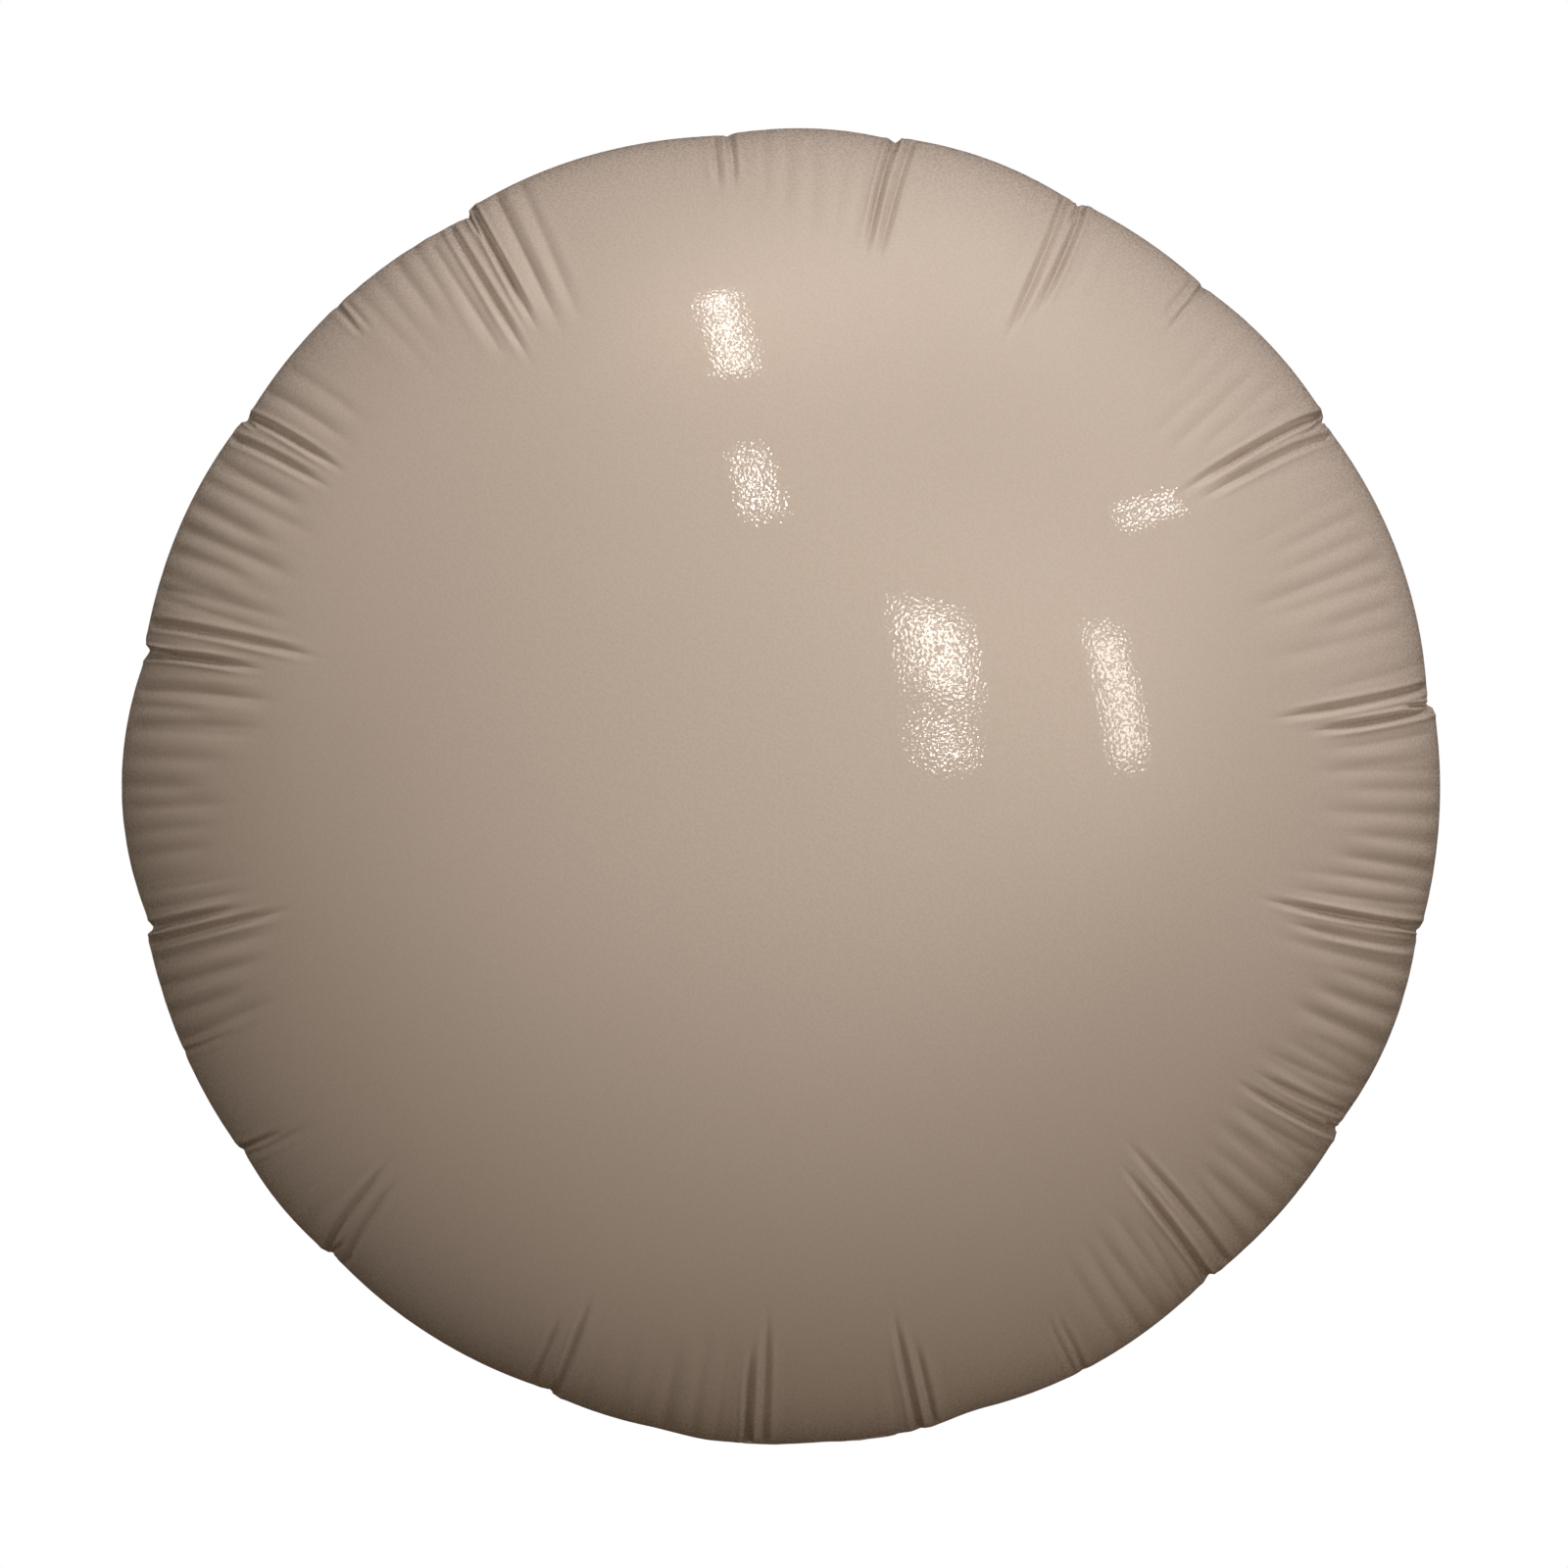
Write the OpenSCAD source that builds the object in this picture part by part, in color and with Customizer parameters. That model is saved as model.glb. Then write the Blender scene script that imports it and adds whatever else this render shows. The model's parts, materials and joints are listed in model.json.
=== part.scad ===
// Round foil balloon, inflated: two film panels heat-sealed together round their edge, a filling
// tail that folds at its root, and a flat self-sealing valve of two thin plies inside the tail.
//
// Millimetres. The origin is the centre of the seam circle, +Z is up, the front panel faces -Y and
// the tail's root is straight below the origin. The tail is drawn folded behind the balloon.

/* [Panels] */
// Diameter of each panel as it is cut flat, with its heat seal
flat_d = 457; // [300:1:900]
// Width of the heat seal round the edge
seal_w = 4; // [3:0.5:6]
// Drawn thickness of the outer film
film_t = 0.4; // [0.3:0.05:0.6]

/* [Filling tail] */
// Width of the tail
tail_w = 40; // [36:1:60]
// Length of the tail from its fold to its tip
tail_len = 62; // [50:1:75]
// How much wider the tail is at its root, on each side
root_flare = 4; // [2:0.5:6]
// Radius of the two corners at the tip
tip_r = 9; // [4:0.5:14]
// Width of the seal across the tip
tip_seal = 5; // [4:0.5:5.5]
// Bare length left at the fold, which the film bridges
fold_gap = 1.5; // [1.2:0.1:2.5]

/* [Filling hole] */
// Radius of the hole that takes a straw or a pump nozzle
hole_r = 4; // [3:0.25:5]
// Distance from the hole's centre to the tip
hole_from_tip = 13; // [11:0.5:16]

/* [Valve] */
// Width of the valve's plies
valve_w = 28; // [20:1:30]
// Drawn thickness of each ply
valve_t = 0.15; // [0.1:0.01:0.2]
// How far the valve reaches into the balloon from the fold
valve_in = 72; // [50:1:90]
// Distance from the valve's mouth to the tip of the tail
mouth_from_tip = 19; // [18:0.5:24]

/* [Hidden] */
$fn = 96;

// An inflated pair of inextensible discs takes the shape whose radius is flat radius / K, where K
// is the ratio below. A point whose surface normal leans by phi from the balloon's axis lies at
// radius seam_r * sqrt(sin(phi)), and its depth is (seam_r / 2) * integral of sqrt(sin) from phi to 90.
K = 1.31103;
seam_r = (flat_d / 2 - seal_w) / K;
rim_r = seam_r + seal_w;

// The profile's steps of phi. The first leaves a small true flat at the middle of each panel.
first_phi = 1.5;
profile_n = 30;
phis = [for (i = [0 : profile_n]) first_phi + i * (90 - first_phi) / profile_n];

function root_sin(a) = sqrt(sin(a));
// Simpson's rule over one step of the profile, in radians
function step_depth(a, b) = (b - a) * PI / 180 * (root_sin(a) + 4 * root_sin((a + b) / 2) + root_sin(b)) / 6;
function depth_from(i) = i >= profile_n ? 0 : step_depth(phis[i], phis[i + 1]) + depth_from(i + 1);
// [radius, depth] of the profile at step i, moved inward by t along the surface normal
function at(i, t = 0) = [
    seam_r * root_sin(phis[i]) - t * sin(phis[i]),
    seam_r / 2 * depth_from(i) - t * cos(phis[i])
];

// The tail lies on an arc about an axis along X, so that it follows the balloon's back
fold_z = -(rim_r + fold_gap / 2);
arc_z = -seam_r / 2;
arc_r = arc_z - fold_z;
function arc_deg(len) = len / arc_r * 180 / PI;
start_deg = arc_deg(fold_gap / 2);
tip_deg = arc_deg(tail_len);
hole_deg = arc_deg(tail_len - hole_from_tip);
mouth_deg = arc_deg(tail_len - mouth_from_tip);
pocket_deg = arc_deg(tail_len - tip_seal);

film_colour = "#bda995";
valve_colour = "#e6ebee";

// Half section of a panel: a domed film wall with the flat heat seal standing out at its foot
module panel_section() {
    polygon(concat(
        [[0, at(0, film_t)[1]]],
        [for (i = [0 : profile_n - 1]) at(i, film_t)],
        [[seam_r - film_t, 0], [rim_r, 0], [rim_r, film_t], [seam_r, film_t]],
        [for (i = [profile_n - 1 : -1 : 0]) at(i)],
        [[0, at(0)[1]]]
    ));
}

// The slot through the seal that the valve passes through, valve_t deep on each panel
module valve_slot() {
    translate([-valve_w / 2, -valve_t, -rim_r - 1])
        cube([valve_w, 2 * valve_t, seal_w + film_t + 2]);
}

module panel(side) {
    color(film_colour) difference() {
        rotate([side * 90, 0, 0]) rotate_extrude() panel_section();
        valve_slot();
    }
}

module front_panel() { panel(1); }
module back_panel() { panel(-1); }

// A band of the tail's arc between two radii and two angles from the fold, w wide along X
module arc_band(r_low, r_high, w, from_deg, to_deg) {
    translate([-w / 2, 0, arc_z]) rotate([0, 90, 0])
        rotate_extrude(angle = to_deg - from_deg, start = from_deg)
            translate([r_low, 0]) square([r_high - r_low, w]);
}

// The tail's outline, laid flat: a strip flared at its root, with round corners at its tip
module tail_outline(chord) {
    half = tail_w / 2;
    root = half + root_flare;
    difference() {
        union() {
            translate([-half, 0]) square([tail_w, chord - tip_r]);
            translate([-half + tip_r, 0]) square([tail_w - 2 * tip_r, chord]);
            for (s = [-1, 1]) translate([s * (half - tip_r), chord - tip_r]) circle(tip_r);
            translate([-root, 0]) square([2 * root, root_flare]);
        }
        for (s = [-1, 1]) translate([s * root, root_flare]) circle(root_flare);
    }
}

// Trims the curved band to the outline, seen square to the middle of the arc
module trimmed_tail() {
    mid = (start_deg + tip_deg) / 2;
    half_chord = arc_r * sin((tip_deg - start_deg) / 2);
    intersection() {
        children();
        translate([0, 0, arc_z]) rotate([mid, 0, 0]) translate([0, -half_chord, 0])
            rotate([180, 0, 0]) mirror([0, 1, 0])
                linear_extrude(2 * arc_r) tail_outline(2 * half_chord);
    }
}

module fill_hole() {
    translate([0, 0, arc_z]) rotate([hole_deg, 0, 0])
        translate([0, 0, -arc_r - 5]) cylinder(r = hole_r, h = 8);
}

// One outer ply of the tail, on the low or high side of its middle surface. The two plies are
// sealed together down both sides and across the tip. Between the seals each has a recess, which
// holds a valve ply as far as the valve's mouth and is an open pocket behind the filling hole.
module tail_ply(low, high, recess_low, recess_high) {
    color(film_colour) difference() {
        trimmed_tail() arc_band(arc_r + low, arc_r + high, tail_w + 2 * root_flare + 2, start_deg, tip_deg);
        arc_band(arc_r + recess_low, arc_r + recess_high, valve_w, start_deg - 1, pocket_deg);
    }
}

module tail_front_ply() {
    difference() {
        tail_ply(0, film_t, -1, valve_t);
        fill_hole();
    }
}
module tail_back_ply() { tail_ply(-film_t, 0, -valve_t, 1); }

// The valve's plies inside the balloon, flat in the seam plane, and inside the tail, on its arc
module valve_inner(side) {
    color(valve_colour)
        translate([-valve_w / 2, side > 0 ? -valve_t : 0, -rim_r])
            cube([valve_w, valve_t, valve_in]);
}
module valve_inner_front() { valve_inner(1); }
module valve_inner_back() { valve_inner(-1); }
module valve_mouth_front() {
    color(valve_colour) arc_band(arc_r, arc_r + valve_t, valve_w, start_deg, mouth_deg);
}
module valve_mouth_back() {
    color(valve_colour) arc_band(arc_r - valve_t, arc_r, valve_w, start_deg, mouth_deg);
}

front_panel();
back_panel();
tail_front_ply();
tail_back_ply();
valve_inner_front();
valve_inner_back();
valve_mouth_front();
valve_mouth_back();
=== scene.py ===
"""The looks of a round foil balloon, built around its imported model.

Metres, in the model's own frame: +Z is up, the front faces -Y, and the origin is the centre of the
seam. Angles round the rim are in degrees, as the camera sees them: 0 at the right, 90 at the top.
Places along the film are distances from the seam, which are below 0 on the sealed edge. A name that
ends in _MM holds millimetres, and a pair of numbers is the range of a random draw where it says so.
"""
import json
import math
from collections import namedtuple

import bpy
import numpy as np
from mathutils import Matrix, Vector


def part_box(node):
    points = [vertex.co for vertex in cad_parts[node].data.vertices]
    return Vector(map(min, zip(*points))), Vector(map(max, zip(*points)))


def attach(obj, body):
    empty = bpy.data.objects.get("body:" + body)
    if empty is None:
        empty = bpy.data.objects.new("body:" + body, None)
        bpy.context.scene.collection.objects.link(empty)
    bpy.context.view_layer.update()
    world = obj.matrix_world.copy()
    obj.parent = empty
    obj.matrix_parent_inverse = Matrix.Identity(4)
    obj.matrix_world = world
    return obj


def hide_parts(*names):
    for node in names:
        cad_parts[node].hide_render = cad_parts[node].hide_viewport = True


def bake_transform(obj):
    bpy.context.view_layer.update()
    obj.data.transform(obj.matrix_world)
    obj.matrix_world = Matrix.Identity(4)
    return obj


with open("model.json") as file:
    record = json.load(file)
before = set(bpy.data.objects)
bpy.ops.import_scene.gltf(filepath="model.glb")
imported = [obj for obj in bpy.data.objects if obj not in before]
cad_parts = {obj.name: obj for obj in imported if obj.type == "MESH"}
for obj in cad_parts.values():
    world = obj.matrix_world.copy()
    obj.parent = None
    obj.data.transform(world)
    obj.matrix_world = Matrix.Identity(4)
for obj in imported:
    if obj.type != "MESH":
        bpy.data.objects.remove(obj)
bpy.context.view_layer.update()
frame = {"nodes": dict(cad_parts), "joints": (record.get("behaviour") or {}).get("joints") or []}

MM = 0.001

# ---------------------------------------------------------------- sizes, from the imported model
SEAL_W = 4 * MM                     # width of the heat seal round the edge
SHAPE_K = 1.31103                   # flat radius / inflated radius of two inextensible discs
TURN = 3.0                          # degrees that the balloon hangs turned, seen by the camera
FOLD = Vector(frame["joints"][0]["pos_m"])

rim_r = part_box("front_panel")[1].x
seam_r = rim_r - SEAL_W
flat_r = seam_r * SHAPE_K
arc_z = -seam_r / 2
arc_r = arc_z - FOLD.z

# ---------------------------------------------------------------- where the film is gathered
Crimp = namedtuple("Crimp", "angle strength lean gap others")

# The crimps round the rim: angle, strength, lean in degrees over the groove's length, gap between
# the grooves as a share of the usual one, strength of the outer grooves. Most of the angles and
# some of the leans were worked out by hand from enlarged crops of the photo and of renders, to
# whole degrees. The other values were set one by one.
CRIMPS = [Crimp(*values) for values in (
    (7, 1.0, -1, 1.0, 0.3), (34, 1.0, 2, 1.0, 0.2), (50, 0.35, 0, 0.6, 0.2), (63, 0.9, -1, 0.9, 0.2),
    (80, 0.9, 1, 0.8, 0.2), (95, 0.5, 0, 0.8, 0.2), (119, 1.0, 0, 1.3, 1.0), (133, 0.3, 0, 0.5, 0.3),
    (146, 0.8, -1, 1.2, 0.6), (168, 1.0, -1, 1.5, 0.8), (193, 0.9, 0, 0.8, 0.5), (204, 0.3, 0, 0.5, 0.3),
    (214, 0.4, 1, 0.5, 0.3), (226, 0.7, -2, 1.0, 0.2), (249, 0.6, 0, 1.2, 0.4), (267, 0.7, 0, 0.8, 0.2),
    (282, 0.6, 0, 0.8, 0.3), (297, 0.3, 0, 0.5, 0.5), (311, 0.9, 1, 1.2, 0.7), (328, 0.8, -1, 1.0, 0.9),
    (347, 0.9, -1, 1.0, 0.5),
)]
# Patches of ripples: (middle angle, half width, strength, mm that it starts further in). The
# places on the front were estimated from the same crops. Those on the back are made up.
RIPPLES_FRONT = [
    (-6, 8, 1.1, 0), (-23, 9, 1.2, 0), (-40, 7, 1.3, 0), (-55, 4, 1.2, 0), (21, 7, 0.9, 22),
    (41, 4, 0.5, 26), (89, 4, 0.6, 0), (125, 5, 0.8, 0), (158, 8, 1.1, 0), (180, 9, 0.8, 0),
    (199, 5, 1.3, 0), (220, 4, 0.4, 0), (260, 5, 0.7, 0),
]
RIPPLES_BACK = [
    (10, 9, 0.8, 0), (55, 9, 0.9, 10), (100, 5, 0.6, 0), (140, 9, 1.0, 0), (185, 9, 0.7, 15),
    (205, 5, 0.9, 0), (240, 5, 0.6, 0), (300, 5, 0.9, 0), (335, 9, 0.8, 5),
]

# ---------------------------------------------------------------- the film's smooth shape
PROFILE_STEPS = 4000


def profile_table():
    """Distance from the seam, radius, depth and lean of the smooth balloon, from seam to middle."""
    root = np.linspace(0, math.sqrt(math.pi / 2), PROFILE_STEPS)
    lean = root**2
    sine = np.sin(lean)
    step = root[1] - root[0]
    along = np.full(PROFILE_STEPS, 2.0)
    along[1:] = 2 * root[1:] / np.sqrt(sine[1:])
    inward = 2 * root * np.sqrt(sine)
    middle_out = np.append(0, np.cumsum((along[1:] + along[:-1]) / 2 * step)) * seam_r / 2
    depth = np.append(0, np.cumsum((inward[1:] + inward[:-1]) / 2 * step)) * seam_r / 2
    from_seam = middle_out[-1] - middle_out
    return from_seam[::-1], (seam_r * np.sqrt(sine))[::-1], (depth[-1] - depth)[::-1], lean[::-1]


TABLE_D, TABLE_R, TABLE_DEPTH, TABLE_LEAN = profile_table()

# ---------------------------------------------------------------- the film's grid
COLUMNS = 1920                      # a multiple of 16, because the columns halve four times
ANGLE_SAMPLES = 7201                # one every 0.05 degrees, to space the columns by
CROWDING = ((1.5, 1.0), (2.2, 4.5))  # extra columns at a crimp: (how many more, degrees each way)
BAND = 116 * MM                     # the wrinkled band's width, in from the seam
BAND_ROWS = 40
BAND_POWER = 1.15                   # above 1, the band's rows crowd towards the seam
DOME_ROWS = 20
HALVINGS = (0, 2, 5, 10)            # rows into the dome after which every second column stops
SEAL_ROWS = np.array([1, 0.85, 0.45, 0.04])  # rows on the sealed edge, as shares of its width
MIDDLE_GAP = 2 * MM                 # radius left for the fan of faces at the middle

band = BAND * np.linspace(0, 1, BAND_ROWS) ** BAND_POWER
dome = BAND + (flat_r - BAND - MIDDLE_GAP) * np.linspace(0, 1, DOME_ROWS + 1)[1:]
ROWS = np.concatenate([-SEAL_W * SEAL_ROWS, band, dome])
RADII = np.interp(ROWS, TABLE_D, TABLE_R)


def smooth(x):
    """0 up to x = 0, 1 from x = 1, with a soft start and end."""
    x = np.clip(x, 0, 1)
    return x * x * (3 - 2 * x)


def apart(angle, other):
    """Signed difference of two angles, in degrees."""
    return (angle - other + 180) % 360 - 180


def column_angles(count):
    """Angles of the mesh's columns, which crowd together at the crimps."""
    fine = np.linspace(-180, 180, ANGLE_SAMPLES)
    density = np.ones_like(fine)
    for crimp in CRIMPS:
        for extra, width in CROWDING:
            density += extra * crimp.strength * np.exp(-(apart(fine, crimp.angle) / width) ** 2)
    total = np.append(0, np.cumsum((density[1:] + density[:-1]) / 2))
    return np.interp(np.arange(count) * total[-1] / count, total, fine)


# ---------------------------------------------------------------- one groove
FADE_NEAR = 14 * MM                 # length before its start over which a groove fades in
FADE_FAR = 0.34                     # share of a groove's length over which its inner end fades
GROOVE_SIDES = 9                    # half widths beyond which a groove leaves the film alone
VALLEY_TOP = 0.5                    # brings the middle of the cross-section to about 1
VALLEY_FALL = 1.3                   # steepness of the valley's sides
VALLEY_ROUND = 0.15                 # roundness of its bottom
SHOULDER = 0.22                     # height of the shoulder on each side
SHOULDER_AT = 2.6                   # its place, in half widths
SHOULDER_W = 1.1


def valley(x):
    """Cross-section of a groove: a narrow valley between low shoulders, with x in half widths."""
    dip = np.exp(VALLEY_TOP - VALLEY_FALL * np.sqrt(VALLEY_ROUND + x * x))
    return dip - SHOULDER * np.exp(-((np.abs(x) - SHOULDER_AT) / SHOULDER_W) ** 2)


# ---------------------------------------------------------------- crimps, ripples and puckers
Groove = namedtuple("Groove", "turn depth_mm half_width near")

# A crimp's own grooves: sideways place in gaps, depth at strength 1, half width, start
NOTCH = Groove(0, 0.6, 1.1 * MM, -SEAL_W)
SLIT = Groove(0, 1.6, 0.4 * MM, 36 * MM)
MAIN = Groove(0.2, 2.2, 0.62 * MM, 36 * MM)
TWIN = Groove(-0.8, 1.5, 0.68 * MM, 42 * MM)
NOTCH_FAR = 40 * MM
SLIT_FAR = 54 * MM
OUTER_GROOVES = ((1.3, 0.9), (-1.9, 0.7), (2.4, 0.5))  # (sideways place in gaps, depth in mm)
OUTER_HALF = 1.1 * MM
OUTER_NEAR_MM = (38, 50)            # range of their starts
CRIMP_GAP = 1.9                     # degrees between two grooves of a crimp, as a rule
CRIMP_FAR_MM = 62                   # how far in a crimp of no strength would reach
CRIMP_GAIN_MM = 42                  # how much further one of strength 1 reaches
CRIMP_SWING = (0.88, 1.12)          # range by which reaches and places vary

RIPPLE_PITCH = 2.2                  # degrees from one ripple to the next
RIPPLE_SHIFT = 0.35                 # degrees that a ripple may lie off its place
RIPPLE_EDGE = 0.5                   # share of its depth that a patch's outermost ripple loses
RIPPLE_DEPTH_MM = (0.35, 0.80)      # range at strength 1
RIPPLE_HALF = 1.4 * MM
RIPPLE_LEAN = 0.4
RIPPLE_NEAR_MM = (34, 46)           # range of the starts
RIPPLE_FAR_MM = (82, 104)           # range of the inner ends
INSET_AT_FAR = 0.4                  # share of a patch's inset by which its inner ends move in too

PUCKER_PITCH = (1.5, 3.0)           # range of degrees from one pucker to the next
PUCKER_SIZE = (0.4, 1.0)            # range
PUCKER_SWING = (0.6, 1.1)           # range by which its reach varies
PUCKER_DEPTH_MM = 1.1
PUCKER_HALF = 0.8 * MM
PUCKER_LEAN = 0.5
PUCKER_FAR_MM = 7                   # how far in a pucker of no size would reach
PUCKER_GAIN_MM = 15                 # how much further one of size 1 reaches
PUCKER_SEED = 11

# ---------------------------------------------------------------- lobes, swelling and the seam
TAIL_AT = -90.0 + TURN
TAIL_CLEAR = 9.0                    # degrees each side of the tail's middle that stay smooth
TAIL_FADE = 4.0                     # degrees over which the ruffle sets in from there

LOBE_BULGE = 1.2 * MM               # how far the film stands out between two crimps
LOBE_STEP = 1.0 * MM                # how far one side of a crimp may stand over the other
LOBE_STEPS = (0.3, 1.0)             # range of these steps, as shares
LOBE_CRIMP = 0.35                   # least strength of a crimp that parts two lobes
LOBE_GAP = 20                       # degrees between two crimps that give a lobe its full bulge
LOBE_MOST = 1.3                     # how much more than that a wider lobe may bulge
FULL_LOBES = {168: 2.0}             # lobes that stand out more, by the crimp that they follow
LOBE_BLUR = 0.2                     # degrees each way over which the lobes' ends are softened
LOBE_BLURS = 7
LOBE_REACH = 78 * MM
LOBE_FADE = 0.85                    # share of their reach over which the lobes fade
LOBE_SEED = 5

ROOT_BULGE = 1.75 * MM              # how far the film stands out over the root of the tail
ROOT_SPAN = 15                      # degrees each side of the tail's middle where that begins
ROOT_FADE = 6                       # degrees over which it sets in

SWELL_MM = 0.8                      # size of the slow unevenness
SWELL_WAVES = range(2, 12)
SWELL_REACH = 120 * MM
SWELL_FADE = 0.75                   # share of its reach over which it fades

TUCK = 1.8 * MM                     # how far the gathered seam is drawn in, behind the swollen film
TUCK_W = 16 * MM
FLANGE_HALF = 0.2 * MM              # half the thickness of the sealed edge
FLANGE_POWER = 8                    # how late the sealed edge thins towards its rim
RUFFLES = 170                       # waves of the gathered seam all round
RUFFLE = 0.9 * MM
RUFFLE_REACH = 7 * MM
RUFFLE_AT_EDGE = 0.35               # how much more the sealed edge's rim sways
RUFFLE_KNOTS = 180                  # places round the seam between which pace and size change
RUFFLE_PACE = (0.7, 1.35)           # range
RUFFLE_SIZE = (0.35, 1.0)           # range, as shares
RUFFLE_SEED = 7


class Film:
    """One disc of film, as a grid of columns round the balloon and rows in from its rim."""

    def __init__(self, side, seed):
        self.side = side
        self.rng = np.random.default_rng(seed)
        self.angle = column_angles(COLUMNS)
        self.out = np.zeros((len(ROWS), COLUMNS))

    def groove(self, angle, depth, half_width, near, far, lean=0.0):
        """Presses a groove along the film from near to far, drifting by lean degrees on the way."""
        start = max(near, 0)
        drift = lean * np.clip((ROWS - start) / (far - start), 0, 1)
        reach = math.degrees(GROOVE_SIDES * half_width / RADII[ROWS < far].min()) + abs(lean)
        cols = np.flatnonzero(np.abs(apart(self.angle, angle)) < reach)
        rows = np.flatnonzero((ROWS > near - FADE_NEAR) & (ROWS < far))
        across = np.radians(apart(self.angle[cols], angle)[None] - drift[rows, None])
        section = valley(across * RADII[rows, None] / half_width)
        fade_in = smooth((ROWS[rows] - near) / FADE_NEAR + 1)
        fade_out = smooth((far - ROWS[rows]) / (FADE_FAR * (far - start)))
        self.out[np.ix_(rows, cols)] -= depth * section * (fade_in * fade_out)[:, None]

    def crimp(self, angle, strength, lean, gap, others):
        """A gathered fold: a shallow notch in the rim, then a slit and grooves side by side."""
        swing = self.rng.uniform(*CRIMP_SWING, 5)
        far = (CRIMP_FAR_MM + CRIMP_GAIN_MM * strength) * MM
        beside = self.rng.choice([-1, 1]) * CRIMP_GAP * gap
        for part, end, drift in (
            (NOTCH, NOTCH_FAR, 0.0),
            (SLIT, SLIT_FAR * swing[0], 0.0),
            (MAIN, far * swing[1], lean),
            (TWIN, far * swing[2], lean),
        ):
            depth = part.depth_mm * strength * MM
            self.groove(angle + part.turn * beside, depth, part.half_width, part.near, end, drift)
        for turn, depth_mm in OUTER_GROOVES:
            depth = depth_mm * others * strength * MM
            start = self.rng.uniform(*OUTER_NEAR_MM) * MM
            place = angle + turn * beside * swing[3]
            self.groove(place, depth, OUTER_HALF, start, far * swing[4], lean)

    def ripples(self, middle, half_width, strength, inset):
        """A patch of soft ripples side by side, which reach neither the seam nor the dome."""
        count = round(2 * half_width / RIPPLE_PITCH)
        for k in range(count + 1):
            shift = self.rng.uniform(-RIPPLE_SHIFT, RIPPLE_SHIFT)
            angle = middle - half_width + k * RIPPLE_PITCH + shift
            fade = 1 - RIPPLE_EDGE * abs(2 * k / max(count, 1) - 1)
            near = (self.rng.uniform(*RIPPLE_NEAR_MM) + inset) * MM
            far = (self.rng.uniform(*RIPPLE_FAR_MM) + INSET_AT_FAR * inset) * MM
            depth = strength * fade * self.rng.uniform(*RIPPLE_DEPTH_MM) * MM
            lean = self.rng.uniform(-RIPPLE_LEAN, RIPPLE_LEAN)
            self.groove(angle, depth, RIPPLE_HALF, near, far, lean)

    def puckers(self):
        """Short fine folds close to the seam, all round but for the root of the tail."""
        shared = np.random.default_rng(PUCKER_SEED)
        angle = -180.0
        while angle < 180:
            size = shared.uniform(*PUCKER_SIZE)
            if abs(apart(angle, TAIL_AT)) > TAIL_CLEAR:
                far = (PUCKER_FAR_MM + PUCKER_GAIN_MM * size * self.rng.uniform(*PUCKER_SWING)) * MM
                lean = self.rng.uniform(-PUCKER_LEAN, PUCKER_LEAN)
                self.groove(angle, PUCKER_DEPTH_MM * size * MM, PUCKER_HALF, -SEAL_W, far, lean)
            angle += shared.uniform(*PUCKER_PITCH)

    def lobes(self):
        """The film stands out between crimps, and one side of a crimp stands over the other."""
        total = np.zeros(COLUMNS)
        shared = np.random.default_rng(LOBE_SEED)
        firm = [crimp for crimp in sorted(CRIMPS) if crimp.strength >= LOBE_CRIMP]
        steps = [shared.uniform(*LOBE_STEPS) * shared.choice([-1, 1]) * crimp.strength for crimp in firm]
        for blur in np.linspace(-LOBE_BLUR, LOBE_BLUR, LOBE_BLURS):
            for k, crimp in enumerate(firm):
                after = (k + 1) % len(firm)
                gap = (firm[after].angle - crimp.angle) % 360
                u = ((self.angle + blur - crimp.angle) % 360) / gap
                v = np.clip(u, 0, 1)
                full = FULL_LOBES.get(crimp.angle, 1.0)
                bulge = full * LOBE_BULGE * min(gap / LOBE_GAP, LOBE_MOST) * (1 - (2 * v - 1) ** 2)
                rise = LOBE_STEP * (steps[k] * (1 - v) ** 3 - steps[after] * v**3)
                total += np.where(u < 1, bulge + rise, 0) / LOBE_BLURS
        at_root = smooth((ROOT_SPAN - np.abs(apart(self.angle, TAIL_AT))) / ROOT_FADE)
        total = (total - total.mean()) * (1 - at_root) + ROOT_BULGE * at_root
        self.out += total[None] * smooth((LOBE_REACH - ROWS) / (LOBE_FADE * LOBE_REACH))[:, None]

    def swell(self):
        """Slow unevenness of the whole band near the rim."""
        turns = np.radians(self.angle)
        fade = smooth((SWELL_REACH - ROWS) / (SWELL_FADE * SWELL_REACH))[:, None]
        for waves in SWELL_WAVES:
            phase = self.rng.uniform(0, 2 * math.pi)
            size = self.rng.normal(0, SWELL_MM / waves) * MM
            self.out += size * np.cos(waves * turns + phase)[None] * fade

    def points(self):
        """The grid's points: the smooth shape, moved along its own outward direction."""
        turn = np.radians(self.angle - TURN)[None]
        lean = np.interp(ROWS, TABLE_D, TABLE_LEAN)[:, None]
        depth = np.interp(ROWS, TABLE_D, TABLE_DEPTH)[:, None]
        out = self.out - TUCK * smooth((TUCK_W - ROWS) / TUCK_W)[:, None]
        edge = np.clip(-ROWS / SEAL_W, 0, 1)[:, None]
        radius = RADII[:, None] + out * np.sin(lean) + edge * SEAL_W
        y = depth + out * np.cos(lean) + FLANGE_HALF * (edge > 0) * (1 - edge**FLANGE_POWER)
        fade = np.exp(-np.clip(ROWS, 0, None) / RUFFLE_REACH)[:, None] * (1 + RUFFLE_AT_EDGE * edge)
        sway = seam_ruffle(self.angle)[None] * fade
        return np.stack([radius * np.cos(turn), self.side * y + sway, radius * np.sin(turn)], -1)


def tail_clear(angle):
    """0 over the root of the tail, where the seam lies straight, and 1 elsewhere."""
    return smooth((np.abs(apart(angle, TAIL_AT)) - TAIL_CLEAR) / TAIL_FADE)


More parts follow.
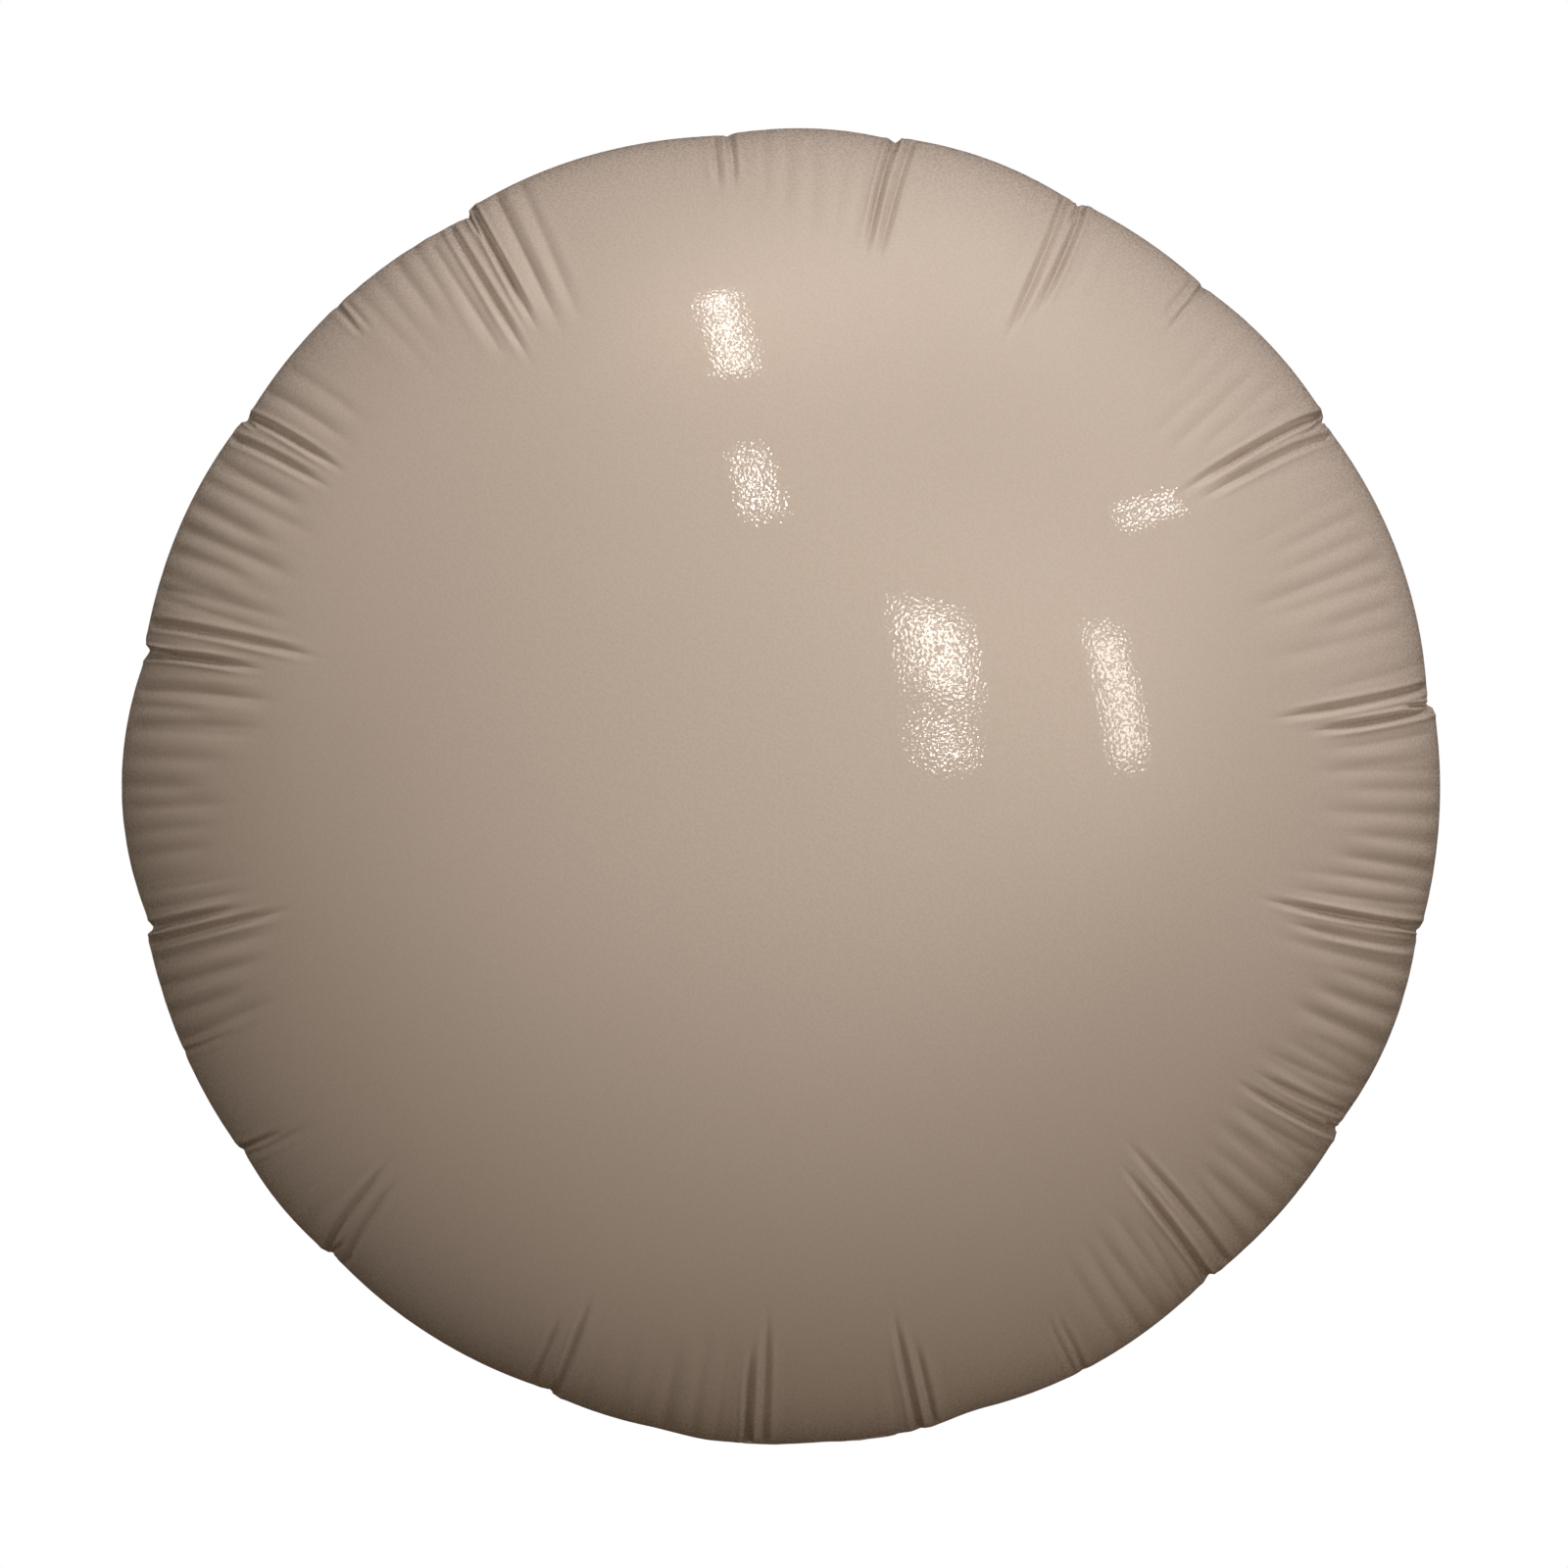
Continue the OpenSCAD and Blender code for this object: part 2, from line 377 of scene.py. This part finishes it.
def seam_ruffle(angle):
    """How far the seam zigzags forward and back, where its spare length is gathered."""
    shared = np.random.default_rng(RUFFLE_SEED)
    knots = np.linspace(-180, 180, RUFFLE_KNOTS + 1)
    phase = np.append(0, np.cumsum(shared.uniform(*RUFFLE_PACE, RUFFLE_KNOTS)))
    phase *= RUFFLES / phase[-1]
    size = np.interp(angle, knots, shared.uniform(*RUFFLE_SIZE, RUFFLE_KNOTS + 1))
    return RUFFLE * size * tail_clear(angle) * np.sin(2 * math.pi * np.interp(angle, knots, phase))


# ---------------------------------------------------------------- the balloon's two discs
def mesh_object(name, points, faces):
    """A smooth-shaded mesh in the scene."""
    mesh = bpy.data.meshes.new(name)
    mesh.from_pydata([tuple(p) for p in points], [], faces)
    mesh.validate()
    mesh.shade_smooth()
    obj = bpy.data.objects.new(name, mesh)
    bpy.context.scene.collection.objects.link(obj)
    return obj


def used_only(points, faces):
    """Drops the points that no face uses."""
    used = sorted({i for f in faces for i in f})
    place = {old: new for new, old in enumerate(used)}
    return [points[i] for i in used], [tuple(place[i] for i in f) for f in faces]


def film_faces(side):
    """Faces of the disc's grid, with the columns halved towards the middle, closed by a fan."""
    first = len(ROWS) - DOME_ROWS
    faces = []
    step = 1
    for row in range(len(ROWS) - 1):
        here = row * COLUMNS
        there = here + COLUMNS
        if row - first in HALVINGS:
            for c in range(0, COLUMNS, 2 * step):
                mid = c + step
                end = (c + 2 * step) % COLUMNS
                faces.append((here + c, here + mid, there + c))
                faces.append((here + mid, here + end, there + end, there + c))
            step *= 2
        else:
            for c in range(0, COLUMNS, step):
                end = (c + step) % COLUMNS
                faces.append((here + c, here + end, there + end, there + c))
    last = (len(ROWS) - 1) * COLUMNS
    middle = len(ROWS) * COLUMNS
    faces += [(last + c, last + (c + step) % COLUMNS, middle) for c in range(0, COLUMNS, step)]
    return faces if side < 0 else [f[::-1] for f in faces]


def film(name, node, side, seed, patches):
    """One disc of the balloon, with its crimps, ripples and heat-sealed edge."""
    disc = Film(side, seed)
    for crimp in CRIMPS:
        disc.crimp(*crimp)
    for patch in patches:
        disc.ripples(*patch)
    disc.puckers()
    disc.lobes()
    disc.swell()
    middle = (0, side * TABLE_DEPTH[-1], 0)
    points, faces = used_only(list(disc.points().reshape(-1, 3)) + [middle], film_faces(side))
    obj = mesh_object(name, points, faces)
    obj.data.materials.append(film_material())
    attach(obj, "shell")
    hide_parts(node)


# ---------------------------------------------------------------- the filling tail
TAIL_LEN = 62 * MM                  # from the fold to the tip
TAIL_HALF = 20 * MM
ROOT_FLARE = 4 * MM
TIP_R = 9 * MM
HOLE_R = 4 * MM
HOLE_FROM_TIP = 13 * MM
HOLE_SPREAD = 4.5 * MM              # width round the hole over which the grid is moved
TINY = 1e-9                         # keeps a point at the hole's centre from dividing by zero
SIDE_SEAL = 6 * MM
TIP_SEAL = 5 * MM
FOLD_R = 0.8 * MM                   # radius of the crease at the root
ROOT_FLAT = 15 * MM                 # half width of the crease's straight part, over the valve
ROOT_RISE = 16 * MM                 # length over which the root's bow dies out
ROOT_IN = 3.8 * MM                  # how far the tail's film runs on up the seal from the crease
PLY_HALF = 0.3 * MM                 # distance of each ply from the tail's middle surface
CROWN = 0.25 * MM                   # how much further it stands out over the valve
CROWN_SIDE = 5 * MM                 # width over which it rises to that, in from the side seals
CROWN_TIP = 6 * MM                  # the same, in from the seal at the tip
EDGE_W = 1.2 * MM                   # width over which the plies part at the tail's edges
EDGE_START = 0.15                   # how far along that curve the very edge lies
CELL = 0.8 * MM                     # mesh size
CREASES = 26
CREASE_SLOPE = 0.35                 # most that a crease leans
CREASE_HEIGHT_MM = (0.06, 0.22)     # range
CREASE_HALF_MM = (0.8, 1.8)         # range
CREASE_FAR_MM = (12, 46)            # range of where a crease ends
CREASE_START = 3 * MM               # length over which it sets in from the fold
CREASE_EDGE = 4 * MM                # width over which it sets in from the tail's edges
TAIL_SEED = 20


def tail_half_width(t):
    """Half width of the tail, t metres from its fold."""
    at_root = ROOT_FLARE - np.clip(t, 0, ROOT_FLARE)
    flare = ROOT_FLARE - np.sqrt(ROOT_FLARE**2 - at_root**2)
    at_tip = np.clip(t - (TAIL_LEN - TIP_R), 0, TIP_R)
    return TAIL_HALF + flare - TIP_R + np.sqrt(TIP_R**2 - at_tip**2)


def tail_line(t):
    """Middle line of the tail as (y, z, normal y, normal z): the seal, the crease, then the arc."""
    bend = FOLD_R * math.pi / 2
    turn = np.clip(t / FOLD_R, 0, math.pi / 2)
    sweep = (np.clip(t - bend, 0, None) + FOLD_R) / arc_r
    on_arc = t > bend
    y = np.where(on_arc, arc_r * np.sin(sweep), FOLD_R * (1 - np.cos(turn)))
    at_crease = FOLD.z + FOLD_R * (1 - np.sin(turn)) - np.clip(t, None, 0)
    z = np.where(on_arc, arc_z - arc_r * np.cos(sweep), at_crease)
    normal_y = np.where(on_arc, np.sin(sweep), -np.cos(turn))
    normal_z = np.where(on_arc, -np.cos(sweep), -np.sin(turn))
    return y, z, normal_y, normal_z


def round_hole(a, b):
    """Moves grid points round the filling hole, so that a square of cells becomes its circle."""
    square = np.maximum(np.abs(a), np.abs(b))
    near = 1 - smooth((square - HOLE_R) / HOLE_SPREAD)
    scale = near * (square / np.maximum(np.hypot(a, b), TINY) - 1) + 1
    return a * scale, b * scale


def tail_creases(x, t, seed):
    """Height of the fine creases that run out from the gathered root."""
    rng = np.random.default_rng(seed)
    total = np.zeros_like(x)
    for _ in range(CREASES):
        at = rng.uniform(-1, 1) * TAIL_HALF
        slope = rng.uniform(-CREASE_SLOPE, CREASE_SLOPE)
        height = rng.uniform(*CREASE_HEIGHT_MM) * MM
        width = rng.uniform(*CREASE_HALF_MM) * MM
        far = rng.uniform(*CREASE_FAR_MM) * MM
        ridge = height * np.exp(1 - np.sqrt(1 + ((x - at - slope * t) / width) ** 2))
        total += ridge * smooth((far - t) / far) * smooth(t / CREASE_START)
    return total


def tail_ply(name, node, side, holed):
    """One film of the tail. side is 1 for the ply that is outside when the tail is folded."""
    rows = round((TAIL_LEN + ROOT_IN) / CELL)
    cols = 2 * round((TAIL_HALF + ROOT_FLARE) / CELL)
    line = np.linspace(-ROOT_IN, TAIL_LEN, rows + 1)
    half = tail_half_width(line)[:, None]
    x = np.linspace(-1, 1, cols + 1)[None] * half
    t = np.repeat(line[:, None], cols + 1, 1)
    hole_t = TAIL_LEN - HOLE_FROM_TIP
    if holed:
        x, t = round_hole(x, t - hole_t)
        t = t + hole_t
    edge = np.minimum(half - np.abs(x), TAIL_LEN - t)
    inner = smooth((half - SIDE_SEAL - np.abs(x)) / CROWN_SIDE)
    crown = CROWN * inner * smooth((TAIL_LEN - TIP_SEAL - t) / CROWN_TIP)
    lift = side * (PLY_HALF + crown) * smooth(edge / EDGE_W + EDGE_START)
    lift += side * tail_creases(x, t, TAIL_SEED + side) * smooth(edge / CREASE_EDGE)
    y, z, normal_y, normal_z = tail_line(t)
    bow = math.sqrt(rim_r**2 - ROOT_FLAT**2) - np.sqrt(rim_r**2 - x**2)
    z = z + np.clip(bow, 0, None) * (1 - smooth(t / ROOT_RISE))
    points = np.stack([x, y + normal_y * lift, z + normal_z * lift], -1).reshape(-1, 3)
    faces = []
    for i in range(rows):
        for j in range(cols):
            from_hole = math.hypot(x[i, j] + x[i + 1, j + 1], t[i, j] + t[i + 1, j + 1] - 2 * hole_t) / 2
            if holed and from_hole < HOLE_R:
                continue
            corner = i * (cols + 1) + j
            faces.append((corner, corner + 1, corner + cols + 2, corner + cols + 1))
    faces = faces if side > 0 else [f[::-1] for f in faces]
    obj = mesh_object(name, *used_only(list(points), faces))
    obj.data.materials.append(film_material())
    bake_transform(obj)
    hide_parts(node)


# ---------------------------------------------------------------- materials
RAMP_ENDS = (0.3, 0.7)              # where a tint's two tones are reached
FILM_TONES = ((0.474, 0.385, 0.311), (0.492, 0.401, 0.327))
VALVE_TONES = ((0.72, 0.76, 0.79), (0.86, 0.88, 0.90))
FLOOR_TONES = ((0.80, 0.80, 0.79), (0.86, 0.86, 0.85))
FILM_NAME = "satin_film"


def nodes_of(name):
    """A new node material with its Principled shader and a helper that adds nodes."""
    material = bpy.data.materials.new(name)
    material.use_nodes = True
    tree = material.node_tree
    shader = next(n for n in tree.nodes if n.type == "BSDF_PRINCIPLED")

    def add(kind, links=(), **values):
        node = tree.nodes.new(kind)
        for key, value in values.items():
            node.inputs[key.replace("_", " ")].default_value = value
        for source, target in links:
            tree.links.new(source, node.inputs[target])
        return node

    return material, tree, shader, add


def two_tones(ramp, tones):
    """Sets a colour ramp's two ends."""
    for end, place, tone in zip(ramp.color_ramp.elements, RAMP_ENDS, tones):
        end.position = place
        end.color = (*tone, 1)


def film_material():
    """Satin taupe film: a soft body colour under a clear glossy face with a fine orange peel."""
    if FILM_NAME in bpy.data.materials:
        return bpy.data.materials[FILM_NAME]
    material, tree, shader, add = nodes_of(FILM_NAME)
    place = add("ShaderNodeTexCoord").outputs["Object"]
    turned = add("ShaderNodeMapping", [(place, "Vector")], Rotation=(0.6, 0.4, 0.9)).outputs["Vector"]
    cloud = add("ShaderNodeTexNoise", [(place, "Vector")], Scale=9.0, Detail=3.0)
    grain = add("ShaderNodeTexNoise", [(turned, "Vector")], Scale=1600.0, Detail=1.0)
    peel = add("ShaderNodeTexVoronoi", [(turned, "Vector")], Scale=1150.0)
    tint = add("ShaderNodeValToRGB", [(cloud.outputs["Fac"], "Fac")])
    two_tones(tint, FILM_TONES)
    rough = add("ShaderNodeMapRange", [(grain.outputs["Fac"], "Value")], To_Min=0.38, To_Max=0.52)
    gloss = add("ShaderNodeMapRange", [(grain.outputs["Fac"], "Value")], From_Min=0.45, From_Max=0.55,
                To_Min=0.1, To_Max=1.0)
    bump = add("ShaderNodeBump", [(peel.outputs["Distance"], "Height")], Strength=1.0, Distance=0.014 * MM)
    tree.links.new(tint.outputs["Color"], shader.inputs["Base Color"])
    tree.links.new(rough.outputs["Result"], shader.inputs["Roughness"])
    tree.links.new(gloss.outputs["Result"], shader.inputs["Coat Weight"])
    tree.links.new(bump.outputs["Normal"], shader.inputs["Normal"])
    tree.links.new(bump.outputs["Normal"], shader.inputs["Coat Normal"])
    shader.inputs["Metallic"].default_value = 0.15
    shader.inputs["IOR"].default_value = 1.45
    shader.inputs["Coat Roughness"].default_value = 0.03
    return material


def valve_material():
    """Thin milky film of the valve, with faint drawn streaks along it."""
    material, tree, shader, add = nodes_of("valve_film")
    place = add("ShaderNodeTexCoord").outputs["Object"]
    long = add("ShaderNodeMapping", [(place, "Vector")], Scale=(900, 60, 60))
    streak = add("ShaderNodeTexNoise", [(long.outputs["Vector"], "Vector")], Scale=1.0, Detail=2.0)
    tint = add("ShaderNodeValToRGB", [(streak.outputs["Fac"], "Fac")])
    two_tones(tint, VALVE_TONES)
    rough = add("ShaderNodeMapRange", [(streak.outputs["Fac"], "Value")], To_Min=0.30, To_Max=0.50)
    bump = add("ShaderNodeBump", [(streak.outputs["Fac"], "Height")], Strength=0.15, Distance=0.1 * MM)
    tree.links.new(tint.outputs["Color"], shader.inputs["Base Color"])
    tree.links.new(rough.outputs["Result"], shader.inputs["Roughness"])
    tree.links.new(bump.outputs["Normal"], shader.inputs["Normal"])
    shader.inputs["Alpha"].default_value = 0.6
    return material


def floor_material():
    """Plain pale floor with a faint mottle."""
    material, tree, shader, add = nodes_of("pale_floor")
    place = add("ShaderNodeTexCoord").outputs["Object"]
    mottle = add("ShaderNodeTexNoise", [(place, "Vector")], Scale=6.0, Detail=4.0)
    tint = add("ShaderNodeValToRGB", [(mottle.outputs["Fac"], "Fac")])
    two_tones(tint, FLOOR_TONES)
    tree.links.new(tint.outputs["Color"], shader.inputs["Base Color"])
    shader.inputs["Roughness"].default_value = 0.8
    return material


# ---------------------------------------------------------------- camera, lights and floor
CAMERA_AWAY = 0.58                  # from the balloon's middle
CAMERA_CLIP = 0.01
VIEW_W = 0.4196                     # width of the picture at the seam
SENSOR_MM = 36
LAMP_AWAY = 1.6                     # from a small lamp to the film that mirrors it
SKY_COLOUR = (0.96, 0.975, 1.04)
SOFT_COLOUR = (1.0, 0.98, 0.955)
GLINT_COLOUR = (1.0, 0.93, 0.84)
SHADE_COLOUR = (1.0, 0.68, 0.40)
SHADE_STRENGTH = 0.055
FLOOR_R = 1.1
FLOOR_DROP = 0.8
FLOOR_SIDES = 96

# The large lights: (name, place, width, height, power, colour)
SOFT_LIGHTS = [
    ("overhead", (0.8, -0.8, 2.2), 1.8, 1.6, 61, SKY_COLOUR),
    ("front", (0.45, -2.5, 0.38), 3.0, 1.2, 44.5, SOFT_COLOUR),
    ("left", (-2.4, -1.0, 1.2), 0.8, 0.8, 11, SOFT_COLOUR),
    ("right", (2.2, -1.2, -0.6), 0.8, 0.8, 6.5, SOFT_COLOUR),
    ("back", (-0.4, 2.5, 0.2), 3.0, 1.6, 62, SOFT_COLOUR),
    ("below", (0.3, 0.1, -0.75), 1.2, 1.2, 0.9, SHADE_COLOUR),
]
# The small lamps: (name, place to the right and up in the camera's view where the film mirrors it,
# in shares of the seam's radius, width, height, tilt in degrees, shine). The places, sizes and
# tilts were estimated by hand from enlarged crops of the photo and of renders.
GLINTS = [
    ("glint_top", -0.09, 0.71, 0.10, 0.56, 11, 18),
    ("glint_upper", -0.045, 0.475, 0.045, 0.28, 9, 29),
    ("glint_middle_a", 0.245, 0.21, 0.15, 0.19, -5, 18),
    ("glint_middle_b", 0.255, 0.066, 0.13, 0.04, -2, 24),
    ("glint_right", 0.525, 0.14, 0.16, 0.36, 6, 12.5),
    ("glint_corner", 0.575, 0.43, 0.42, 0.035, 12, 24),
]


def make_camera():
    """A camera square to the front, rolled so that the balloon hangs turned in its view."""
    data = bpy.data.cameras.new("camera")
    data.sensor_width = SENSOR_MM
    data.lens = SENSOR_MM * CAMERA_AWAY / VIEW_W
    data.clip_start = CAMERA_CLIP
    camera = bpy.data.objects.new("camera", data)
    camera.location = (0, -CAMERA_AWAY, 0)
    camera.rotation_euler = (math.pi / 2, math.radians(TURN), 0)
    bpy.context.scene.collection.objects.link(camera)
    bpy.context.scene.camera = camera


def area_light(name, place, target, width, height, power, colour):
    """A rectangular light at place, turned to face target."""
    data = bpy.data.lights.new(name, "AREA")
    data.shape = "RECTANGLE"
    data.size = width
    data.size_y = height
    data.energy = power
    data.color = colour
    light = bpy.data.objects.new(name, data)
    light.location = place
    light.rotation_euler = (Vector(target) - Vector(place)).to_track_quat("-Z", "Y").to_euler()
    bpy.context.scene.collection.objects.link(light)
    return light


def film_at(right, up):
    """Point and normal of the front film at a place in the camera's view, in shares of seam_r."""
    seen = TABLE_R * CAMERA_AWAY / (CAMERA_AWAY - TABLE_DEPTH)
    horizon = int(np.argmax(seen))
    away = math.hypot(right, up) * seam_r
    lean = float(np.interp(away, seen[horizon:][::-1], TABLE_LEAN[horizon:][::-1]))
    depth = float(np.interp(lean, TABLE_LEAN[::-1], TABLE_DEPTH[::-1]))
    radius = seam_r * math.sqrt(math.sin(lean))
    turn = math.atan2(up, right) - math.radians(TURN)
    spot = Vector((radius * math.cos(turn), -depth, radius * math.sin(turn)))
    normal = Vector((math.sin(lean) * math.cos(turn), -math.cos(lean), math.sin(lean) * math.sin(turn)))
    return spot, normal


def glint(name, right, up, width, height, tilt, shine):
    """A small lamp that the film mirrors at a place in the camera's view."""
    spot, normal = film_at(right, up)
    look = (Vector((0, -CAMERA_AWAY, 0)) - spot).normalized()
    ray = 2 * normal.dot(look) * normal - look
    power = shine * math.pi * width * height
    lamp = area_light(name, spot + ray * LAMP_AWAY, spot, width, height, power, GLINT_COLOUR)
    lamp.rotation_euler.rotate_axis("Z", math.radians(tilt))
    lamp.visible_diffuse = False


def soft_light(name, place, width, height, power, colour):
    """A large light that shades the film but isn't mirrored in it."""
    light = area_light(name, place, (0, 0, 0), width, height, power, colour)
    light.visible_glossy = False
    light.visible_camera = False


def make_world():
    """White all round for the camera, and a dim warm shade as light."""
    world = bpy.data.worlds.new("studio")
    world.use_nodes = True
    tree = world.node_tree
    tree.nodes.clear()
    out = tree.nodes.new("ShaderNodeOutputWorld")
    mix = tree.nodes.new("ShaderNodeMixShader")
    path = tree.nodes.new("ShaderNodeLightPath")
    shade = tree.nodes.new("ShaderNodeBackground")
    shade.inputs["Color"].default_value = (*SHADE_COLOUR, 1)
    shade.inputs["Strength"].default_value = SHADE_STRENGTH
    white = tree.nodes.new("ShaderNodeBackground")
    white.inputs["Color"].default_value = (1, 1, 1, 1)
    tree.links.new(path.outputs["Is Camera Ray"], mix.inputs[0])
    tree.links.new(shade.outputs[0], mix.inputs[1])
    tree.links.new(white.outputs[0], mix.inputs[2])
    tree.links.new(mix.outputs[0], out.inputs[0])
    bpy.context.scene.world = world
    bpy.context.scene.view_settings.view_transform = "Standard"


def make_floor():
    """A round floor, which the balloon neither mirrors nor takes light from."""
    turns = np.linspace(0, 2 * math.pi, FLOOR_SIDES + 1)[:-1]
    rim = [(FLOOR_R * math.cos(t), FLOOR_R * math.sin(t), -FLOOR_DROP) for t in turns]
    floor = mesh_object("floor", rim, [tuple(range(len(rim)))])
    floor.data.materials.append(floor_material())
    floor.visible_glossy = False
    floor.visible_diffuse = False


# ---------------------------------------------------------------- make it all
FRONT_SEED = 101
BACK_SEED = 202

make_camera()
for values in SOFT_LIGHTS:
    soft_light(*values)
for values in GLINTS:
    glint(*values)
make_world()
make_floor()

film("front_film", "front_panel", -1, FRONT_SEED, RIPPLES_FRONT)
film("back_film", "back_panel", 1, BACK_SEED, RIPPLES_BACK)
tail_ply("tail_film_front", "tail_front_ply", 1, True)
tail_ply("tail_film_back", "tail_back_ply", -1, False)

valve = valve_material()
for name in ("valve_inner_front", "valve_inner_back", "valve_mouth_front", "valve_mouth_back"):
    frame["nodes"][name].data.materials.clear()
    frame["nodes"][name].data.materials.append(valve)
